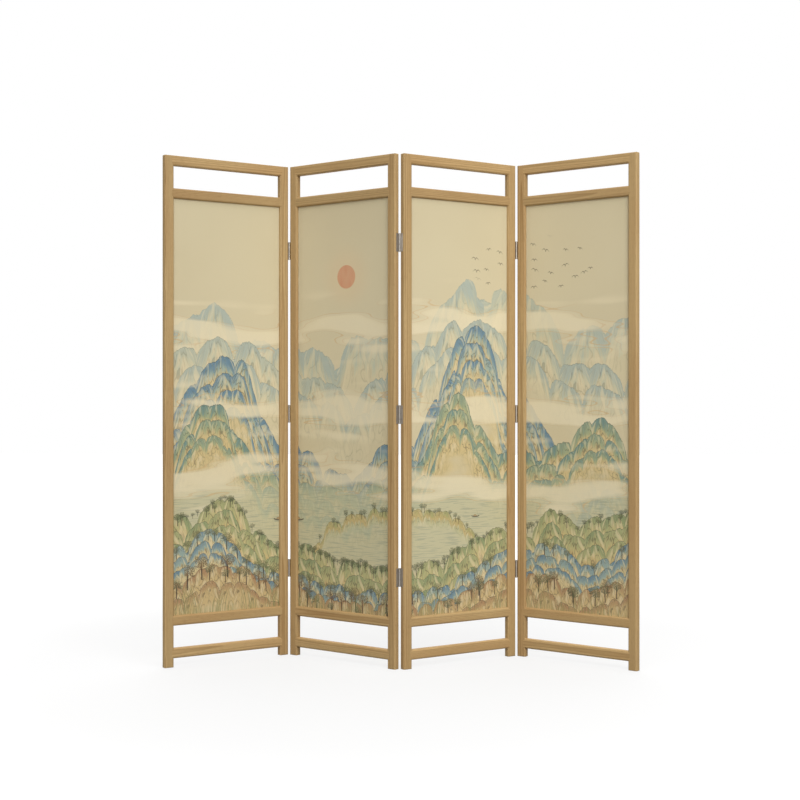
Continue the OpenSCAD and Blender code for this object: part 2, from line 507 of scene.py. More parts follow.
AZURE = Wash(linear(108, 138, 154), linear(162, 176, 158), linear(212, 192, 142))
TEAL = Wash(linear(118, 146, 136), linear(166, 172, 130), linear(210, 188, 134))
MEADOW = Wash(linear(146, 156, 110), linear(188, 181, 126), linear(212, 186, 128))
SHORE = Wash(linear(168, 168, 112), linear(202, 176, 118), linear(194, 190, 146))
HAZE = Wash(linear(176, 184, 170), linear(198, 196, 166), linear(213, 200, 162))
RUSSET = Wash(linear(176, 138, 98), linear(192, 164, 114), linear(204, 178, 126))
INK = linear(68, 57, 46)
BARK = linear(66, 50, 38)
SILK = linear(213, 200, 164)
SILK_LOW = linear(207, 188, 142)
SILK_CLOUD = linear(196, 178, 138)
MIST = linear(231, 218, 183)
MIST_LINE = linear(206, 170, 118)
SUN = linear(206, 128, 88)
SUN_GLOW = linear(226, 188, 140)
WATER = linear(197, 194, 158)
RIPPLE = linear(146, 152, 132)
MATTING = linear(190, 156, 104)
MATTING_RIB = linear(150, 116, 76)
GREEN_REED = linear(112, 124, 78)
DRY_REED = linear(166, 148, 92)
LIT_ROCK = linear(228, 214, 176)
LIT_LEAF = linear(176, 172, 118)
MOSS = linear(84, 96, 70)
OLIVE, TAWNY, PINE, RUST = (
    linear(72, 80, 54), linear(92, 92, 60), linear(64, 74, 60), linear(110, 80, 52)
)


class Spot(NamedTuple):
    """Where a layer is painted: the group's plan, the picture so far, and the place in metres."""

    plan: Plan
    ground: Wire
    along: Wire
    up: Wire


class Layer(Effect):
    """An effect that paints one layer over the picture.

    Its formula takes a spot and the layer's own inputs, and gives the spot's new colour.
    """

    shared = {"ground": Socket.RGBA, "along": Socket.VALUE, "up": Socket.VALUE}

    def work_out(self, plan: Plan, given: Made) -> Made:
        """Paints the layer at the spot that the group's inputs give."""
        spot = Spot(plan, *(given.pop(label) for label in self.shared))
        return {"Color": self.formula(spot, **given)}


@Effect
def silk_ground(plan: Plan, along: Number, up: Number) -> Made:
    """Tones the bare silk, darker towards the foot of the picture.

    Args:
        plan: The group's plan.
        along: The way along the picture, in metres.
        up: The way up it, in metres.

    Returns:
        The ground's colour.
    """
    cloud = plan.noise(along * 2.3 + 5, up * 2.3, detail=2)
    silk = plan.mix(up.fall(0.1, 0.9) * 0.8, SILK, SILK_LOW)
    return {"Color": plan.mix(cloud.rise(0.35, 0.75) * 0.16, silk, SILK_CLOUD)}


@Effect
def moss_dots(plan: Plan, along: Number, up: Number) -> Made:
    """Scatters the dots that the ranges carry along their outlines.

    Args:
        plan: The group's plan.
        along: The way along the picture, in metres.
        up: The way up it, in metres.

    Returns:
        Where the dots are, as Cover.
    """
    dots = plan.scatter(along * 170, up * 170, free=0.9)
    (luck,) = plan.lots(dots["Color"], 1)
    return {"Cover": dots["Distance"].fall(0.2, 0.34) * luck.rise(0.5, 0.52)}


@Layer
def low_sun(spot: Spot, radius: Number) -> Tint:
    """Washes in a round sun with a soft glow.

    Args:
        spot: The spot, from the sun's middle.
        radius: The sun's radius, in metres.

    Returns:
        The picture with the sun.
    """
    plan, ground, along, up = spot
    away = (along * along + up * up) ** 0.5
    disc = away.fall(radius - MM, radius + MM)
    brushed = plan.noise(along * 60, up * 14)
    warmed = plan.mix(away.fall(radius, radius * 3.2) * 0.22, ground, SUN_GLOW)
    return plan.mix(disc * (0.5 + brushed * 0.3), warmed, SUN)


@Layer
def flock_of_birds(spot: Spot, pitch: Number) -> Tint:
    """Brushes in small birds on the wing.

    Args:
        spot: The spot, from the flock's middle.
        pitch: About how far apart the birds fly, in metres.

    Returns:
        The picture with the birds.
    """
    flatness = 0.7
    half_long, half_high = 0.26, 0.1
    least_span, more_span = 11 * MM, 7 * MM
    plan, ground, along, up = spot
    nearest = plan.scatter(along / pitch, up / (pitch * flatness), free=0.8)
    cell_x, cell_y, _ = plan.parts(nearest["Position"])
    luck, size, tilt = plan.lots(nearest["Color"], 3)
    bird_x, bird_y = cell_x * pitch, cell_y * pitch * flatness
    out = (bird_x / half_long) ** 2 + (bird_y / half_high) ** 2
    across = along - bird_x
    span = size * more_span + least_span
    part = abs(across) / span
    high = up - bird_y - across * (tilt - 0.5) * 0.7
    wing = plan.math("SINE", part**0.7 * math.pi) * span * 0.42
    thick = part.fall(0.0, 1.0) * (1.1 * MM) + 0.3 * MM
    stroke = abs(high - wing).fall(thick, thick + 0.6 * MM) * part.fall(0.96, 1.0)
    body = abs(across).fall(0.8 * MM, 2.2 * MM) * abs(high + 0.6 * MM).fall(0.8 * MM, 1.8 * MM)
    there = out.fall(0.9, 1.0) * luck.rise(0.3, 0.31)
    return plan.mix(stroke.most(body) * there * 0.8, ground, INK)


@Layer
def bank_of_mist(spot: Spot, seed: Number) -> Tint:
    """Lays a bank of mist across the picture, with fine drawn edges.

    Args:
        spot: The spot, up from the bank's level.
        seed: Sets one bank apart from the next.

    Returns:
        The picture with the mist.
    """
    plan, ground, along, up = spot
    half_thick = 75 * MM
    outer_line, inner_line = 0.26, 0.36
    roll = (plan.noise(along * 1.3 + seed) - 0.5) * 0.22
    away = abs(up - roll) / half_thick
    near = away.fall(0.9, 2.2)
    curl = plan.noise(along * 3.2 + seed, up * 19)
    bank = curl + away.fall(0.0, 1.0) * 0.34 - 0.34
    outer = abs(bank - outer_line).fall(0.004, 0.012)
    edge = outer.most(abs(bank - inner_line).fall(0.003, 0.01) * 0.6)
    clouded = plan.mix(bank.rise(0.2, 0.5) * near * 0.8, ground, MIST)
    return plan.mix(edge * 0.55 * away.fall(0.6, 1.3), clouded, MIST_LINE)


@Layer
def still_water(spot: Spot, cover: Number) -> Tint:
    """Paints still water with fine ripples.

    Args:
        spot: The spot.
        cover: Where the water lies.

    Returns:
        The picture with the water.
    """
    plan, ground, along, up = spot
    ripple = plan.noise(along * 14, up * 260)
    water = plan.mix(cover * 0.75, ground, WATER)
    return plan.mix(ripple.rise(0.56, 0.64) * cover * 0.45, water, RIPPLE)


@Layer
def small_boat(spot: Spot, long: Number) -> Tint:
    """Draws a small roofed boat on the water.

    Args:
        spot: The spot, from the middle of the boat's rim.
        long: Half the boat's length, in metres.

    Returns:
        The picture with the boat.
    """
    plan, ground, along, up = spot
    part = along / long
    lift = up / long
    sheer = part * part * 0.2
    edge = (-0.02, 0.02)
    hull = abs(part).fall(0.97, 1.02) * (sheer - lift).rise(*edge) * (lift - sheer + 0.2).rise(*edge)
    arch = ((part + 0.1) / 0.42) ** 2 + (lift / 0.34) ** 2
    roof = arch.fall(0.94, 1.04) * lift.rise(0.0, 0.04)
    ribs = plan.math("SINE", part * 70).rise(-0.2, 0.4) * 0.5
    trim = roof * arch.rise(0.74, 0.84)
    pole = abs(part - 0.62 + lift * 0.22).fall(0.01, 0.025) * lift.rise(-0.1, 0.0) * lift.fall(1.2, 1.3)
    shade = abs(part).fall(0.7, 1.1) * (lift + 0.3).rise(-0.16, 0.0) * lift.fall(-0.2, -0.14)
    rippled = plan.mix(shade * 0.5, ground, RIPPLE)
    roofed = plan.mix(roof * 0.9, rippled, plan.mix(ribs, MATTING, MATTING_RIB))
    return plan.mix(hull.most(trim).most(pole * 0.8) * 0.85, roofed, INK)


@Layer
def bed_of_reeds(spot: Spot, tall: Number, lean: Number, seed: Number) -> Tint:
    """Paints a bed of bent reeds.

    Args:
        spot: The spot, up from the reeds' feet.
        tall: The reeds' height, in metres.
        lean: How far their tips bend, in metres.
        seed: Sets one bed apart from the next.

    Returns:
        The picture with the reeds.
    """
    plan, ground, along, up = spot
    pitch = 5.2 * MM
    part = up / tall
    bent = (along - part * part * lean) / pitch + seed
    nearest = plan.scatter(bent, free=0.9)
    stem = nearest["W"]
    luck, size, tone = plan.lots(nearest["Color"], 3)
    clump = plan.noise((stem - seed) * pitch * 9 + seed)
    reach = (size * 0.6 + 0.5) * clump.rise(0.42, 0.62)
    away = abs(bent - stem) * pitch
    blade = away.fall(0.4 * MM, 1.3 * MM) * (part - reach).fall(-0.25, 0.0) * luck.rise(0.25, 0.26)
    green = plan.mix(tone, GREEN_REED, DRY_REED)
    return plan.mix(blade * 0.85, ground, green)


@Effect
def edge_of_mist(plan: Plan, along: Number, up: Number, below: Number, depth: Number, seed: Number) -> Made:
    """Lets a range sink into the mist.

    Args:
        plan: The group's plan.
        along: The way along the picture, in metres.
        up: The way up it, in metres.
        below: How far below the crest a place is, in metres.
        depth: Where the mist starts, in metres below the crest.
        seed: Sets one range apart from the next.

    Returns:
        How much of the range stands clear, as Fade.
    """
    wisp = plan.noise(along * 4 + seed, up * 16) - 0.5
    return {"Fade": (below / depth + wisp * 0.7).fall(0.45, 1.05)}


@Layer
def row_of_hills(
    spot: Spot,
    line: Number,
    dome: Number,
    seed: Number,
    fade: Number,
    ink: Number,
    moss: Number,
    crown: Tint,
    flank: Tint,
    foot: Tint,
) -> Tint:
    """Paints a row of domed hills with fanned brush strokes and an ink outline.

    Args:
        spot: The spot.
        line: The height that the domes stand on.
        dome: The width of a dome, in metres.
        seed: Sets one row apart from the next.
        fade: How much of the row stands clear of the mist here.
        ink: The strength of the ink.
        moss: Where the moss dots are.
        crown: The colour at the top.
        flank: The colour halfway down.
        foot: The colour at the mist.

    Returns:
        The picture with the row.
    """
    dome_height, crag_height, sunk = 0.62, 0.16, 0.4
    plan, ground, along, up = spot
    nearest = plan.scatter(along / dome + seed, free=0.85)
    (luck,) = plan.lots(nearest["Color"], 1)
    side = along / dome + seed - nearest["W"]
    bow = (1 - side * side * 2.6).most(0.0) ** 0.5
    crags = plan.noise(along / dome * 5 + seed * 2, detail=2, roughness=0.6) - 0.5
    below = line + dome * (bow * dome_height + crags * crag_height - sunk) - up
    down = below / dome
    fan = side / (down.most(0.0) + 0.42)
    strokes = plan.noise(fan * 15 + seed, down * 2.2, detail=2, roughness=0.6)
    cleft = plan.noise(fan * 3.2 + seed * 1.7, down * 1.3)
    crease = abs(cleft - 0.5).fall(0.006, 0.028) * down.rise(0.03, 0.2)
    body = below.rise(0.0, MM)
    contour = below.fall(0.9 * MM, 2.8 * MM) * body
    marks = contour.most(crease * 0.6).most(strokes.rise(0.55, 0.66) * 0.34) * ink
    level = down + (strokes - 0.5) * 0.9 + (cleft - 0.5) * 0.8
    tinted = plan.mix(luck.rise(0.4, 0.8) * 0.5, crown, flank)
    washed = plan.mix(level.rise(0.05, 0.55), tinted, flank)
    footed = plan.mix(level.rise(0.35, 0.85), washed, foot)
    lit = plan.mix(cleft.rise(0.52, 0.7) * 0.4, footed, LIT_ROCK)
    inked = plan.mix(marks * (0.35 + fade * 0.65), lit, INK)
    dotted = moss * abs(below - 3 * MM).fall(2 * MM, 8 * MM)
    mossed = plan.mix(dotted * ink * 0.8, inked, MOSS)
    return plan.mix(body * fade, ground, mossed)


@Effect
def spaced_stems(plan: Plan, along: Number, spacing: Number, seed: Number) -> Made:
    """Spaces stems along a line.

    Args:
        plan: The group's plan.
        along: The way along the picture, in metres.
        spacing: The distance from one stem to the next, in metres.
        seed: Sets one row apart from the next.

    Returns:
        The nearest stem's place and two random numbers of its own.
    """
    nearest = plan.scatter(along / spacing + seed, free=0.7)
    luck, shape = plan.lots(nearest["Color"], 2)
    return {"Centre": (nearest["W"] - seed) * spacing, "Chance": luck, "Shape": shape}


@Layer
def brushed_tree(
    spot: Spot, height: Number, chance: Number, shape: Number, share: Number, leaf: Tint
) -> Tint:
    """Draws a small tree: a bent trunk and a crown of dabs.

    Args:
        spot: The spot, from the tree's foot.
        height: The tree's usual height, in metres.
        chance: The tree's own random number.
        shape: Another one.
        share: How many of the stems carry a tree.
        leaf: The colour of the leaves.

    Returns:
        The picture with the tree.
    """
    crown_at, crown_wide, crown_high = 0.7, 0.13, 0.075
    plan, ground, along, up = spot
    tall = height * (0.7 + shape * 0.5)
    high = up / tall
    aside = along / tall - (chance * 3 - 1.5) * 0.1 * high * high
    trunk = abs(aside).fall(0.018, 0.04) * high.rise(-0.02, 0.0) * high.fall(0.6, 0.8)
    ragged = plan.noise(aside * 7 + chance * 40, high * 7) - 0.5
    oval = aside * aside / crown_wide + (high - crown_at) * (high - crown_at) / crown_high
    crown = (oval + ragged * 2.4).fall(0.6, 1.0)
    dabs = plan.noise(aside * 26 + chance * 70, high * 30)
    lit = plan.mix(high.rise(0.5, 1.0) * 0.4, leaf, LIT_LEAF)
    shaded = plan.mix(dabs.rise(0.56, 0.7) * 0.6, lit, INK)
    cover = (trunk * 0.92).most(crown * dabs.rise(0.4, 0.52) * 0.92) * (share - chance).rise(0.0, 0.001)
    return plan.mix(cover, ground, plan.mix(crown, BARK, shaded))


@dataclass(frozen=True)
class Grove:
    """A row of trees that stand a little below a range's crest, in metres.

    The share is how many of its places carry a tree.
    """

    leaf: Colour
    spacing: float
    height: float
    seed: float
    sink: float
    share: float = 0.7


@dataclass(frozen=True)
class Range:
    """One range of hills: a crest through chosen points, and how it is painted.

    The points give the way along in panels and the height in metres. The mist starts at the
    depth. The domes stand in rows, one in front of the other, which spread over a share of the
    depth and shrink by a share from row to row.
    """

    wash: Wash
    crest: Points
    dome: float
    rows: int
    depth: float
    seed: float
    ink: float = 0.85
    spread: float = 0.6
    shrink: float = 0.12
    groves: tuple[Grove, ...] = ()


@dataclass
class Easel:
    """The picture while it is painted, one layer over the other.

    The renderer first works out all that waits for nothing and has little room to keep it, so
    each layer waits for the one below: its place is tied to the picture so far, by far less than
    a thread.
    """

    plan: Plan
    start: tuple[Wire, Wire]
    moss: Wire
    picture: Wire
    tie: float = 1e-9

    def place(self) -> tuple[Wire, Wire]:
        """Gives the way along and up, in metres, once the picture so far is known."""
        wait = self.picture * self.tie
        return self.start[0] + wait, self.start[1] + wait

    def lay(self, coat: Effect, along: Wire, up: Wire, **inputs: Any) -> None:
        """Paints a layer over the picture so far.

        Args:
            coat: The layer.
            along: The way along from where the layer counts, in metres.
            up: The way up from there, in metres.
            inputs: The layer's own inputs.
        """
        self.picture = coat(self.plan, ground=self.picture, along=along, up=up, **inputs)["Color"]


@dataclass(frozen=True)
class Landscape:
    """The picture that is printed across all four panels.

    The banks of mist give their level in metres and their seed. The boats give their middle, their
    rim's height and half their length in metres, and the reed beds how far their tips lean in
    metres, and their seed.
    """

    width: float
    height: float
    far: tuple[Range, ...] = (
        Range(
            HAZE,
            ((0, 1.0), (0.35, 1.06), (0.8, 0.98), (1.4, 0.9), (1.9, 0.97), (2.4, 1.09), (2.75, 1.16),
             (3.15, 1.08), (3.6, 0.98), (4, 1.03)),
            dome=0.15, rows=1, depth=0.26, seed=11.0, ink=0.3,
        ),
        Range(
            HAZE,
            ((0, 0.9), (0.45, 0.96), (0.95, 0.86), (1.6, 0.78), (2.1, 0.88), (2.55, 1.03), (2.95, 0.98),
             (3.4, 0.88), (4, 0.84)),
            dome=0.12, rows=2, depth=0.26, seed=23.0, ink=0.5,
        ),
    )
    middle: tuple[Range, ...] = (
        Range(
            AZURE,
            ((0, 0.7), (0.3, 0.86), (0.55, 0.9), (0.8, 0.74), (1.1, 0.55), (1.5, 0.48), (2.0, 0.6),
             (2.35, 0.84), (2.6, 1.0), (2.8, 0.95), (3.05, 0.72), (3.4, 0.56), (4, 0.48)),
            dome=0.09, rows=4, depth=0.4, seed=31.0,
        ),
        Range(
            TEAL,
            ((0, 0.55), (0.2, 0.7), (0.42, 0.74), (0.62, 0.6), (1.0, 0.46), (1.6, 0.42), (2.1, 0.53),
             (2.3, 0.7), (2.5, 0.78), (2.7, 0.66), (3.0, 0.55), (3.4, 0.6), (3.7, 0.68), (4, 0.58)),
            dome=0.075, rows=3, depth=0.27, seed=47.0,
        ),
    )
    near: tuple[Range, ...] = (
        Range(
            SHORE,
            ((0, 0.2), (1.1, 0.2), (1.35, 0.3), (1.7, 0.35), (2.15, 0.36), (2.5, 0.33), (2.75, 0.22),
             (4, 0.2)),
            dome=0.05, rows=1, depth=0.06, seed=59.0, ink=0.7,
            groves=(Grove(OLIVE, spacing=0.019, height=0.034, seed=43.0, sink=0.008),),
        ),
        Range(
            MEADOW,
            ((0, 0.33), (0.4, 0.38), (0.8, 0.27), (1.2, 0.2), (1.8, 0.16), (2.3, 0.18), (2.8, 0.26),
             (3.3, 0.33), (3.7, 0.3), (4, 0.36)),
            dome=0.1, rows=3, depth=0.24, seed=71.0, ink=0.9,
            groves=(
                Grove(PINE, spacing=0.022, height=0.030, seed=5.0, sink=0.004),
                Grove(OLIVE, spacing=0.031, height=0.042, seed=17.0, sink=0.02),
            ),
        ),
        Range(
            AZURE,
            ((0, 0.22), (0.35, 0.28), (0.7, 0.17), (1.1, 0.1), (1.7, 0.07), (2.4, 0.1), (2.9, 0.19),
             (3.2, 0.23), (3.6, 0.17), (4, 0.25)),
            dome=0.055, rows=3, depth=0.2, seed=83.0, ink=0.95,
            groves=(Grove(TAWNY, spacing=0.040, height=0.058, seed=29.0, sink=0.03),),
        ),
        Range(
            RUSSET,
            ((0, 0.1), (0.5, 0.16), (0.9, 0.08), (1.4, 0.03), (2.2, 0.03), (2.7, 0.08), (3.1, 0.12),
             (3.5, 0.07), (4, 0.13)),
            dome=0.05, rows=2, depth=0.2, seed=97.0, ink=0.95,
            groves=(
                Grove(RUST, spacing=0.052, height=0.080, seed=37.0, sink=0.03, share=0.5),
                Grove(OLIVE, spacing=0.047, height=0.066, seed=53.0, sink=0.05),
            ),
        ),
    )
    mists: Points = ((1.02, 3.1), (0.72, 8.4), (0.46, 14.9))
    sun_at: tuple[float, float] = (0.66, 1.2)
    sun_radius: float = 0.042
    birds_at: tuple[float, float] = (1.36, 1.25)
    bird_pitch: float = 0.062
    boats: tuple[tuple[float, float, float], ...] = ((0.43, 0.32, 0.024), (1.14, 0.34, 0.018))
    near_shore: tuple[float, float] = (0.1, 0.2)
    far_shore: tuple[float, float] = (0.4, 0.5)
    reed_height: float = 0.11
    reed_beds: Points = ((0.035, 61.0), (-0.03, 7.0))

    def crest(self, plan: Plan, along: Wire, hills: Range) -> Wire:
        """Finds the height of a range's crest.

        Args:
            plan: The picture's plan.
            along: The way along the picture, in metres.
            hills: The range.

        Returns:
            The crest's height, in metres.
        """
        points = tuple((x / PANELS, y / self.height) for x, y in hills.crest)
        line = plan.curve(along / self.width, points) * self.height
        long, high = hills.dome * 1.7, hills.dome * 0.8
        return line + (plan.noise(along / long + hills.seed) - 0.5) * high

    def paint_range(self, easel: Easel, hills: Range) -> None:
        """Paints one range, its rows of domed hills and the trees on it.

        Args:
            easel: The picture so far.
            hills: The range.
        """
        wash = hills.wash
        row_step = 5.7
        along, up = easel.place()
        crest = self.crest(easel.plan, along, hills)
        clear = edge_of_mist(
            easel.plan, along=along, up=up, below=crest - up, depth=hills.depth, seed=hills.seed
        )
        for row in range(hills.rows):
            easel.lay(
                row_of_hills,
                *easel.place(),
                line=crest - row * hills.depth * hills.spread / hills.rows,
                dome=hills.dome * (1 - hills.shrink * row),
                seed=hills.seed + row * row_step,
                fade=clear["Fade"],
                crown=wash.crown,
                flank=wash.flank,
                foot=wash.foot,
                ink=hills.ink,
                moss=easel.moss,
            )
        for grove in hills.groves:
            self.paint_grove(easel, hills, grove)

    def paint_grove(self, easel: Easel, hills: Range, grove: Grove) -> None:
        """Paints a row of trees on a range.

        Args:
            easel: The picture so far.
            hills: The range.
            grove: The row of trees.
        """
        along, up = easel.place()
        stems = spaced_stems(easel.plan, along=along, spacing=grove.spacing, seed=grove.seed)
        base = self.crest(easel.plan, stems["Centre"], hills) - grove.sink
        easel.lay(
            brushed_tree,
            along - stems["Centre"],
            up - base,
            height=grove.height,
            chance=stems["Chance"],
            shape=stems["Shape"],
            share=grove.share,
            leaf=grove.leaf,
        )

    def paint_mist(self, easel: Easel, level: float, seed: float) -> None:
        """Paints a bank of mist at a level in metres."""
        along, up = easel.place()
        easel.lay(bank_of_mist, along, up - level, seed=seed)

    def printed_landscape(self, plan: Plan, place: Point) -> Made:
        """Paints the whole picture.

        Args:
            plan: The group's plan.
            place: The place in the picture, in metres.

        Returns:
            The printed colour.
        """
        along, up, _ = plan.parts(place)
        moss = moss_dots(plan, along=along, up=up)["Cover"]
        easel = Easel(plan, (along, up), moss, silk_ground(plan, along=along, up=up)["Color"])
        easel.lay(low_sun, along - self.sun_at[0], up - self.sun_at[1], radius=self.sun_radius)
        self.paint_range(easel, self.far[0])
        self.paint_mist(easel, *self.mists[0])
        self.paint_range(easel, self.far[1])
        along, up = easel.place()
        easel.lay(flock_of_birds, along - self.birds_at[0], up - self.birds_at[1], pitch=self.bird_pitch)
        self.paint_range(easel, self.middle[0])
        self.paint_mist(easel, *self.mists[1])
        self.paint_range(easel, self.middle[1])
        along, up = easel.place()
        lake = up.rise(*self.near_shore) * up.fall(*self.far_shore)
        easel.lay(still_water, along, up, cover=lake)
        for middle, rim, long in self.boats:
            along, up = easel.place()
            easel.lay(small_boat, along - middle, up - rim, long=long)
        self.paint_mist(easel, *self.mists[2])
        for hills in self.near:
            self.paint_range(easel, hills)
        for lean, seed in self.reed_beds:
            easel.lay(bed_of_reeds, *easel.place(), tall=self.reed_height, lean=lean, seed=seed)
        return {"Color": easel.picture}


# Finishes


Placing = Callable[[Plan], Wire]


class Grain(Enum):
    """Which way a member's grain runs, as the turn that brings it upright."""

    UPRIGHT = 0.0
    LEVEL = math.pi / 2


def member_place(plan: Plan, centre: Vector, turn: float, grain: Grain) -> Wire:
    """Reads the object's own coordinates, turned so that Z runs along the grain.

    Args:
        plan: The material's plan.
        centre: The member's middle, in metres.
        turn: The panel's turn about Z, in radians.
        grain: Which way the member lies.

    Returns:
        The place in the member.
    """
    source = plan.wire("ShaderNodeTexCoord", None, "Object")
    inputs = {"Location": centre, "Rotation": (0.0, grain.value, turn), "Vector": source}
    return plan.wire("ShaderNodeMapping", inputs, vector_type="TEXTURE")


@dataclass(frozen=True)
class Finish:
    """What all finishes share: a pattern that feeds one Principled BSDF.

    The relief is how high the pattern's 1 stands, in metres.
    """

    relief: float

    def pattern(self, plan: Plan, place: Wire, seed: float) -> Made:
        """Gives the pattern's Color and Height, and its Roughness where that changes."""
        raise NotImplementedError

    def plain(self) -> dict[str, float]:
        """Gives the shader's values that are the same all over, by the names of their sockets."""
        return {}

    def material(self, name: str, placing: Placing, seed: float = 0.0) -> bpy.types.Material:
        """Makes the finish of one piece or of pieces that are alike.

        Args:
            name: The material's name.
            placing: Adds the nodes that read the place in the piece.
            seed: Sets one piece's pattern apart from the next.

        Returns:
            The material.
        """
        material = bpy.data.materials.new(name)
        plan = Plan.fresh(material)
        shader = plan.add("ShaderNodeBsdfPrincipled")
        plan.add("ShaderNodeOutputMaterial", {0: Wire(plan, shader.outputs[0])})
        made = self.pattern(plan, placing(plan), seed)
        bump = {"Height": made.pop("Height"), "Distance": self.relief, "Strength": 1.0}
        made["Base Color"] = made.pop("Color")
        for label, value in {**made, **self.plain(), "Normal": plan.wire("ShaderNodeBump", bump)}.items():
            plan.feed(shader.inputs[label], value)
        return material


@dataclass(frozen=True)
class Timber(Finish):
    """Pale, satin-oiled open-grained wood."""

    relief: float = 0.12 * MM
    light: Colour = linear(197, 168, 120)
    dark: Colour = linear(139, 108, 65)
    gloss: float = 0.12

    def picked(self, paleness: float) -> "Timber":
        """Gives a copy of the wood painted lighter or darker by a factor, as painted light."""
        light, dark = (tuple(share * paleness for share in tone) for tone in (self.light, self.dark))
        return replace(self, light=light, dark=dark)

    def pattern(self, plan: Plan, place: Wire, seed: float) -> Made:
        """Draws one member's grain."""
        return wood_grain(plan, place=place, seed=seed, light=self.light, dark=self.dark)

    def plain(self) -> dict[str, float]:
        """Gives the wood's low gloss."""
        return {"Specular IOR Level": self.gloss}


@dataclass(frozen=True)
class Steel(Finish):
    """Plated hinge steel."""

    relief: float = 0.02 * MM
    tone: Colour = linear(177, 171, 163)

    def pattern(self, plan: Plan, place: Wire, seed: float) -> Made:
        """Draws the brush marks of one panel's fittings."""
        return brushed_metal(plan, place=place, seed=seed, steel=self.tone)

    def plain(self) -> dict[str, float]:
        """Makes it metal."""
        return {"Metallic": 1.0}


@dataclass(frozen=True)
class Canvas(Finish):
    """Fine canvas with a picture printed on it."""

    relief: float = 0.1 * MM
    picture: Optional[Effect] = None
    pitch: float = 0.55 * MM
    # The colour that the painted shade in the gaps between the threads darkens the print towards
    between: Colour = linear(150, 128, 92)
    roughness: float = 0.78
    sheen: float = 0.08
    sheen_roughness: float = 0.6

    def pattern(self, plan: Plan, place: Wire, seed: float) -> Made:
        """Prints the picture on the weave, with painted shade darkening the gaps between the threads, which
        are also duller.

        Args:
            plan: The material's plan.
            place: The place in the picture, in metres.
            seed: Not used, since all four cloths are cut from one canvas.

        Returns:
            The cloth's colour, its roughness and the height of its threads.
        """
        printed = self.picture(plan, place=place)["Color"]
        threads = plain_weave(plan, place=place, pitch=self.pitch)
        # Painted shade: the print is darkened in the gaps between the threads
        gaps = threads["Gap"].rise(0.5, 1.0) * 0.12
        return {
            "Color": plan.mix(gaps, printed, self.between, "MULTIPLY"),
            "Roughness": self.roughness + threads["Gap"] * 0.12,
            "Height": threads["Height"],
        }

    def plain(self) -> dict[str, float]:
        """Gives the cloth's faint sheen."""
        return {"Sheen Weight": self.sheen, "Sheen Roughness": self.sheen_roughness}


@dataclass(frozen=True)
class Hardboard(Finish):
    """The brown fibreboard behind the canvas."""

    relief: float = 0.05 * MM
    light: Colour = linear(146, 108, 74)
    dark: Colour = linear(96, 66, 42)
    roughness: float = 0.85

    def pattern(self, plan: Plan, place: Wire, seed: float) -> Made:
        """Draws the pressed fibres."""
        return fibreboard(plan, place=place, light=self.light, dark=self.dark)

    def plain(self) -> dict[str, float]:
        """Gives the board's dullness."""
        return {"Roughness": self.roughness}


# The screen


class Member(Enum):
    """The wooden members of one panel, each with its grain and a factor of painted light, by which its wood
    is painted lighter or darker for how bright it stands in the light.
    """

    LEFT_STILE = ("left_stile", Grain.UPRIGHT, 1.0)
    RIGHT_STILE = ("right_stile", Grain.UPRIGHT, 1.0)
    BOTTOM_RAIL = ("bottom_rail", Grain.LEVEL, 1.11)
    LOWER_RAIL = ("lower_rail", Grain.LEVEL, 1.03)
    UPPER_RAIL = ("upper_rail", Grain.LEVEL, 0.95)
    TOP_RAIL = ("top_rail", Grain.LEVEL, 1.1)


@dataclass
class Stand:
    """Where one panel stands: its turn about Z and its own axes."""

    number: int

    def __post_init__(self) -> None:
        """Reads the turn from the widest face of the panel's board."""
        board = frame["nodes"][f"picture_board_{self.number}"].data
        widest = max(board.polygons, key=lambda face: face.area).normal
        facing = widest if widest.y < 0 else -widest
        self.turn = math.atan2(facing.x, -facing.y)
        self.across = Vector((math.cos(self.turn), math.sin(self.turn), 0.0))
        self.inward = Vector((-math.sin(self.turn), math.cos(self.turn), 0.0))

    def box(self, node: str) -> Corners:
        """Gives the lowest and highest corner of one of the panel's nodes, on its own axes.

        Args:
            node: The node's name without the panel's number.

        Returns:
            The two corners, each across, into and up the panel.
        """
        mesh = frame["nodes"][f"{node}_{self.number}"].data
        places = [
            (vertex.co.dot(self.across), vertex.co.dot(self.inward), vertex.co.z) for vertex in mesh.vertices
        ]
        return Vector(map(min, zip(*places))), Vector(map(max, zip(*places)))

    def opening(self) -> Corners:
        """Finds the framed opening on the panel's axes.

        Returns:
            Its lowest and its highest corner.
        """
        members = ("left_stile", "right_stile", "lower_rail", "upper_rail")
        left, right, lower, upper = (self.box(name) for name in members)
        return (
            Vector((left[1].x, left[0].y, lower[1].z)),
            Vector((right[0].x, left[1].y, upper[0].z)),
        )

    def world(self) -> Matrix:
        """Gives the turn from the panel's axes to the screen's."""
        return Matrix.Rotation(self.turn, 4, "Z")


